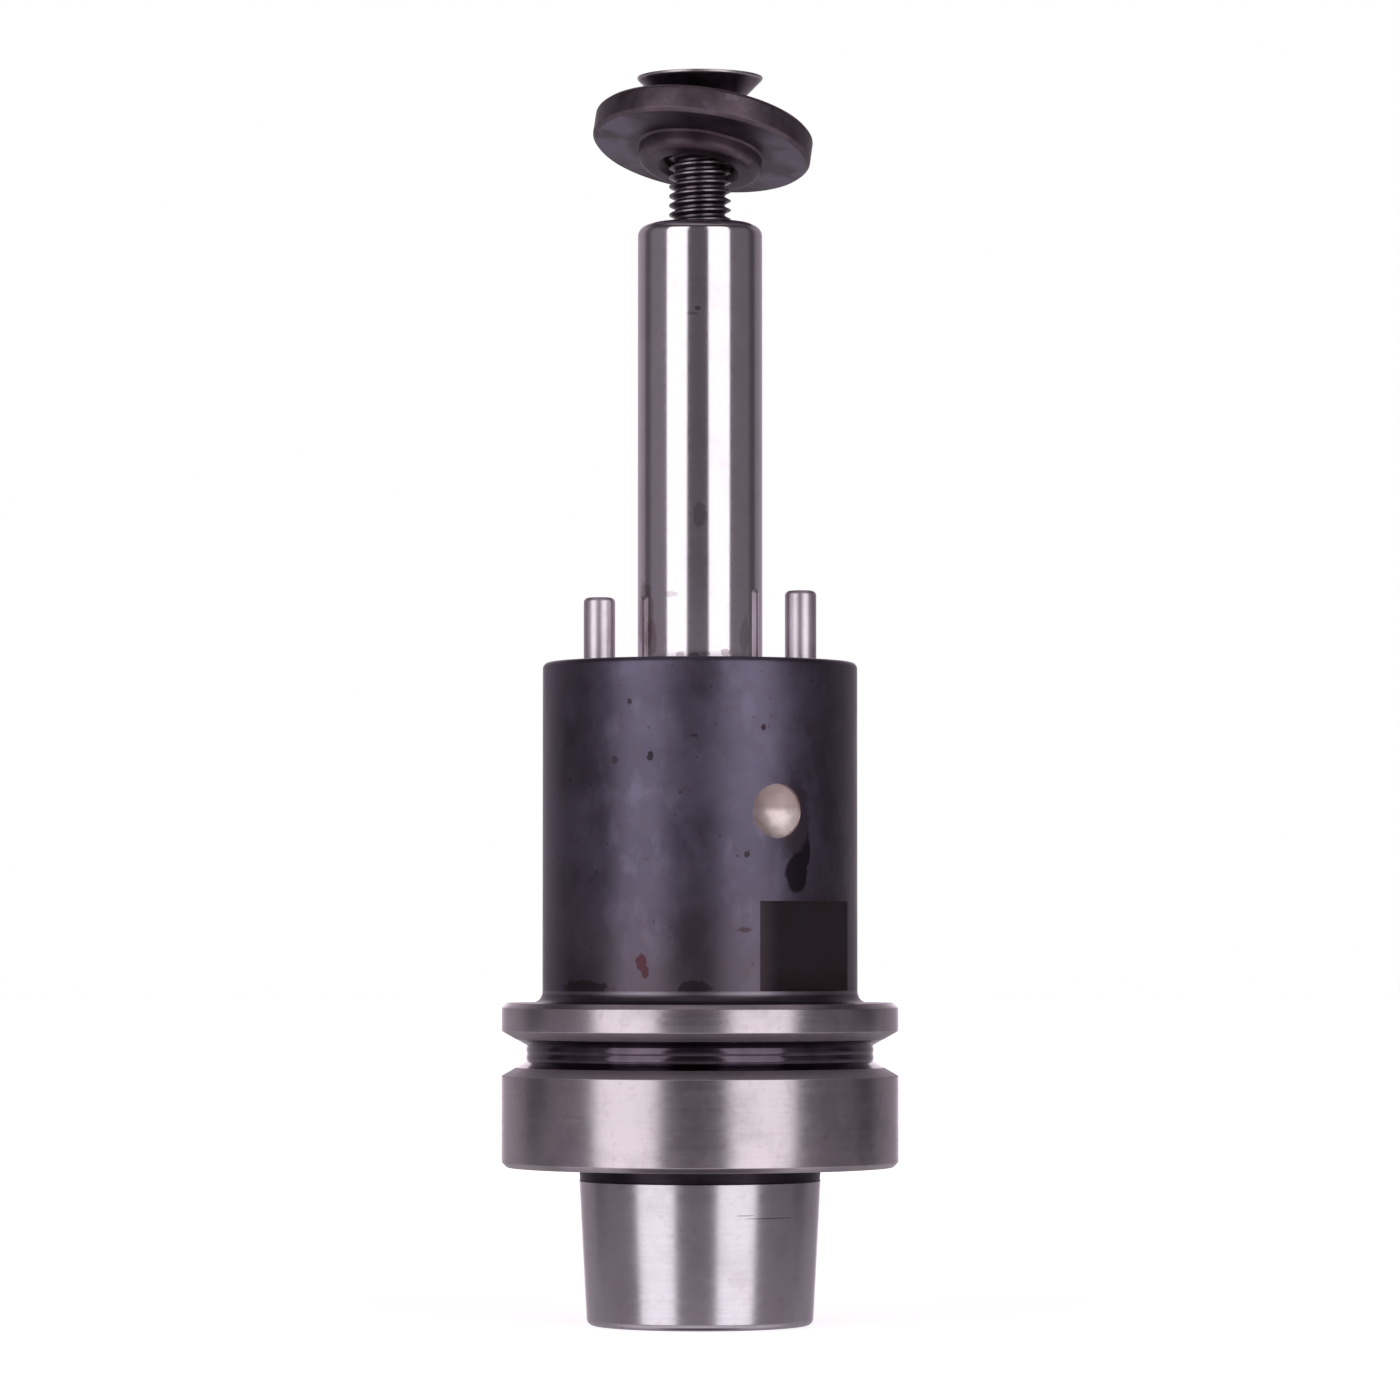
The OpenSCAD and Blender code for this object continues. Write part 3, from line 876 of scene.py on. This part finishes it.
class ARBOR_OT_cover_washer(bpy.types.Operator):
    """Build the cover washer, canted as it hangs on the thread"""

    bl_idname = "arbor.cover_washer"
    bl_label = "Cover washer"

    def execute(self, context):
        s = context.scene.arbor_washer
        foot = -s.disc_t - s.boss_h
        land_top = s.bore_r - s.sink_r
        land_foot = foot + s.bore_edge
        land_mid = (land_top + land_foot) / 2
        line = Outline(s.bore_r, land_top).to(s.sink_r, 0).to(s.outer_r - s.edge, 0)
        line.to(s.outer_r, -s.edge).to(s.outer_r, s.edge - s.disc_t).to(s.outer_r - s.edge, -s.disc_t)
        root = 0.3 * MM
        line.to(s.boss_r + root, -s.disc_t).to(s.boss_r, -s.disc_t - root)
        line.arc((s.boss_r - s.boss_edge_r, foot + s.boss_edge_r), s.boss_edge_r, 0, -90)
        line.to(s.bore_r + s.bore_edge, foot).to(s.bore_r, land_foot).to(s.bore_r, land_top)
        piece = turned("cover_washer_turned", line.softened(s.edge_break), [washer_oxide(s)], WASHER_STEPS)
        up = -Vector(WASHER_FACE["axis"])
        face = Vector(WASHER_FACE["pos_m"])
        # the middle of the bore lies on the screw's axis
        middle_z = (up.dot(face) + s.disc_t + land_mid) / up.z
        cant = up.to_track_quat("Z", "Y").to_matrix().to_4x4()
        seat = Matrix.Translation((0, 0, middle_z)) @ cant @ Matrix.Translation((0, 0, -land_mid))
        piece.matrix_world = seat
        place_piece(piece, "washer", "clamping_washer")
        return {"FINISHED"}


class ARBOR_OT_clamping_screw(bpy.types.Operator):
    """Build the countersunk screw with its rolled thread and hexagon socket"""

    bl_idname = "arbor.clamping_screw"
    bl_label = "Clamping screw"

    def execute(self, context):
        s = context.scene.arbor_screw
        head_r = SCREW_HI.x
        top_z = SCREW_HI.z
        tip_z = SCREW_LO.z
        root_r = s.crest_r - SCREW_DEPTH * s.pitch
        cone_z = top_z - s.head_rim - (head_r - s.crest_r)
        end_r = root_r - 0.02 * MM
        thread_top = cone_z - s.neck
        mesh = bmesh.new()
        turn_rings(mesh, Outline(0, tip_z).to(end_r, tip_z), SCREW_STEPS)
        thread_rows(mesh, s.pitch, s.crest_r, root_r, tip_z, thread_top, end_r, SCREW_STEPS)
        head = Outline(end_r, thread_top).to(s.crest_r - 0.3 * MM, cone_z - 0.4 * MM)
        head.to(s.crest_r, cone_z).to(head_r, top_z - s.head_rim).to(head_r, top_z)
        # the socket's mouth is chamfered, and its floor is the cone of the drill that opened it
        mouth_r = s.socket_af / 2 / math.cos(math.pi / 6) + 0.25 * MM
        head.to(mouth_r, top_z)
        turn_rings(mesh, head.softened(s.edge_break), SCREW_STEPS)
        floor_z = top_z - s.socket_in
        wall = Outline(mouth_r, top_z)
        wall.to(lambda turn: hexagon(s.socket_af, turn), top_z - 0.4 * MM)
        wall.to(lambda turn: hexagon(s.socket_af, turn), floor_z)
        wall.to(s.socket_af / 2 * 0.98, floor_z)
        wall.to(0, floor_z - s.socket_af / 2 * math.tan(SLOPE))
        turn_rings(mesh, wall, SCREW_STEPS)
        piece = finish_mesh(mesh, "clamping_screw_rolled", [screw_oxide(s)], 22)
        place_piece(piece, "screw", "clamping_screw")
        return {"FINISHED"}


class ARBOR_OT_stage(bpy.types.Operator):
    """Set up the camera, the softboxes, the surroundings and the floor"""

    bl_idname = "arbor.stage"
    bl_label = "Stage"

    # from straight behind the object to straight behind the camera: place on the ramp, brightness
    BANDS = (
        (0, 1.5),
        (0.012, 1.4),
        (0.022, 0.52),
        (0.07, 0.4),
        (0.22, 0.27),
        (0.27, 0.11),
        (0.35, 0.11),
        (0.43, 0.21),
        (0.72, 0.22),
        (0.84, 0.13),
    )
    # the room's light leans to violet
    TINT = (1, 0.87, 0.98)
    # zones of the room: part of the direction, where the zone starts and ends, its amounts there
    ZONES = {
        "lean": ("X", -0.9, 0.9, 1.12, 0.86),
        "ceiling": ("Z", 0.35, 0.7, 0, 1),
        "zenith": ("Z", 0.74, 0.9, 0, 1),
        "below": ("Z", -0.2, -0.02, 1, 0),
        "behind": ("Y", 0.0, 0.5, 0, 1),
        "near": ("Z", -0.7, -0.25, 1, 0),
        "under": ("Z", -0.97, -0.87, 1, 0),
    }

    def softbox(self, s, name, around, width, power):
        """A tall rectangular light at a direction in degrees from the camera's side, aimed at the axis."""
        turn = math.radians(around)
        data = bpy.data.lights.new(name, "AREA")
        data.shape = "RECTANGLE"
        data.size = width
        data.size_y = s.light_h
        data.energy = power
        lamp = bpy.data.objects.new(name, data)
        lamp.visible_camera = False
        lamp.location = (s.light_away * math.sin(turn), -s.light_away * math.cos(turn), s.light_z)
        aim = Vector((0, 0, s.aim_z)) - lamp.location
        lamp.rotation_euler = aim.to_track_quat("-Z", "Y").to_euler()
        bpy.context.scene.collection.objects.link(lamp)

    def surroundings(self):
        """A white room to look at, whose light is bright behind the object and dim behind the camera."""
        world = bpy.data.worlds.new("white_room")
        world.use_nodes = True
        tree = world.node_tree
        tree.nodes.clear()
        way = add(tree, "TexCoord").outputs["Generated"]
        parts = add(tree, "SeparateXYZ", {0: way}).outputs
        level = add(tree, "VectorMath", {0: way, 1: (1, 1, 0)}, operation="MULTIPLY")
        unit = add(tree, "VectorMath", {0: level}, operation="NORMALIZE")
        facing = add(tree, "VectorMath", {0: unit, 1: (0, -0.5, 0)}, operation="DOT_PRODUCT")
        share = add(tree, "Math", {0: facing, 1: 0.5}, operation="ADD")
        ramp = add(tree, "ValToRGB", {"Fac": share})
        elements = ramp.color_ramp.elements
        elements.remove(elements[0])
        for i, (spot, value) in enumerate(self.BANDS):
            element = elements[0] if i == 0 else elements.new(spot)
            element.position = spot
            element.color = (*(value * part for part in self.TINT), 1)
        zone = {}
        for name, (part, start, end, first, last) in self.ZONES.items():
            span = {0: parts[part], 1: start, 2: end, 3: first, 4: last}
            zone[name] = add(tree, "MapRange", span, **SMOOTH)
        # the walls are a little brighter to the left; overhead is dim but for the zenith; below lie the
        # ground in front, brighter close by, the ground behind, and a dark spot straight under the object
        walls = add(tree, "VectorMath", {0: ramp, "Scale": zone["lean"]}, operation="SCALE")
        above = layered(tree, (0.07, 0.062, 0.066, 1), (zone["zenith"], (0.36, 0.32, 0.345, 1)))
        front = layered(tree, (0.33, 0.285, 0.33, 1), (zone["near"], (0.85, 0.8, 0.83, 1)))
        behind = (zone["behind"], (0.42, 0.385, 0.42, 1))
        ground = layered(tree, front, behind, (zone["under"], (0.13, 0.11, 0.12, 1)))
        seen = add(tree, "LightPath").outputs["Is Camera Ray"]
        room = layered(
            tree, walls, (zone["ceiling"], above), (zone["below"], ground), (seen, (1, 1, 1, 1))
        )
        add(tree, "OutputWorld", {"Surface": add(tree, "Background", {"Color": room})})
        bpy.context.scene.world = world

    def floor(self, s):
        """A pale matt floor under the taper's end, lit up so that it fades into the room."""
        material, tree, place = new_material("pale_matt_floor")
        base = s.floor
        reach = add(tree, "VectorMath", {0: place}, operation="LENGTH")
        glow = add(tree, "MapRange", {0: reach, 1: 60, 2: 900, 3: 0.72, 4: 1.0}, **SMOOTH)
        looks = {
            "Base Color": layered(tree, base, (clouds(tree, place, 220), shade(base, 0.97))),
            "Roughness": 0.9,
            "Emission Color": (1, 1, 1, 1),
            "Emission Strength": glow,
        }
        add(tree, "OutputMaterial", {"Surface": add(tree, "BsdfPrincipled", looks)})
        mesh = bmesh.new()
        bmesh.ops.create_grid(mesh, x_segments=8, y_segments=8, size=6)
        ground = finish_mesh(mesh, "floor", [material])
        # a hair below the taper's end, so that the two faces don't lie in one plane
        ground.location.z = CAD_BOX[0].z - 0.05 * MM
        # the metal reflects the room alone, as an object lit on a table of light does
        ground.visible_glossy = False
        ground.visible_shadow = False

    def camera(self, s):
        """A long lens in front of the object, a little above its contact face."""
        data = bpy.data.cameras.new("camera")
        data.lens = s.lens
        data.sensor_width = 36
        data.clip_start = 0.05
        data.clip_end = 50
        camera = bpy.data.objects.new("camera", data)
        camera.location = (0, -s.distance, s.height)
        camera.rotation_euler = (math.pi / 2 + s.pitch, 0, 0)
        bpy.context.scene.collection.objects.link(camera)
        bpy.context.scene.camera = camera

    def execute(self, context):
        s = context.scene.arbor_stage
        self.camera(s)
        self.floor(s)
        self.surroundings()
        self.softbox(s, "softbox_left", around=-43.3, width=0.94, power=7.6)
        self.softbox(s, "softbox_right", around=35.8, width=0.96, power=7.8)
        context.scene.view_settings.view_transform = "Standard"
        return {"FINISHED"}


class ARBOR_PT_panel(bpy.types.Panel):
    """The arbor's pieces and their sizes"""

    bl_idname = "ARBOR_PT_panel"
    bl_label = "Cutter Arbor"
    bl_space_type = "VIEW_3D"
    bl_region_type = "UI"
    bl_category = "Arbor"

    def draw(self, context):
        for operator in OPERATORS:
            self.layout.operator(operator.bl_idname)
        for name, group in SETTINGS.items():
            box = self.layout.box()
            box.label(text=group.__doc__)
            settings = getattr(context.scene, name)
            for key in group.__annotations__:
                box.prop(settings, key)


SETTINGS = {
    "arbor_holder": ArborHolderSettings,
    "arbor_spindle": ArborSpindleSettings,
    "arbor_pins": ArborPinSettings,
    "arbor_washer": ArborWasherSettings,
    "arbor_screw": ArborScrewSettings,
    "arbor_stage": ArborStageSettings,
}
OPERATORS = (
    ARBOR_OT_holder,
    ARBOR_OT_spindle,
    ARBOR_OT_drive_pins,
    ARBOR_OT_cover_washer,
    ARBOR_OT_clamping_screw,
    ARBOR_OT_stage,
)


def register():
    """Register the classes and hang the settings on the scene."""
    for group in (*SETTINGS.values(), *OPERATORS, ARBOR_PT_panel):
        bpy.utils.register_class(group)
    for name, group in SETTINGS.items():
        setattr(bpy.types.Scene, name, PointerProperty(type=group))


def unregister():
    """Take the settings and the classes away again."""
    for name in SETTINGS:
        delattr(bpy.types.Scene, name)
    for group in (ARBOR_PT_panel, *OPERATORS, *SETTINGS.values()):
        bpy.utils.unregister_class(group)


def main():
    """Build every piece and the stage."""
    register()
    bpy.ops.arbor.holder()
    bpy.ops.arbor.spindle()
    bpy.ops.arbor.drive_pins()
    bpy.ops.arbor.cover_washer()
    bpy.ops.arbor.clamping_screw()
    bpy.ops.arbor.stage()


if __name__ == "__main__":
    main()
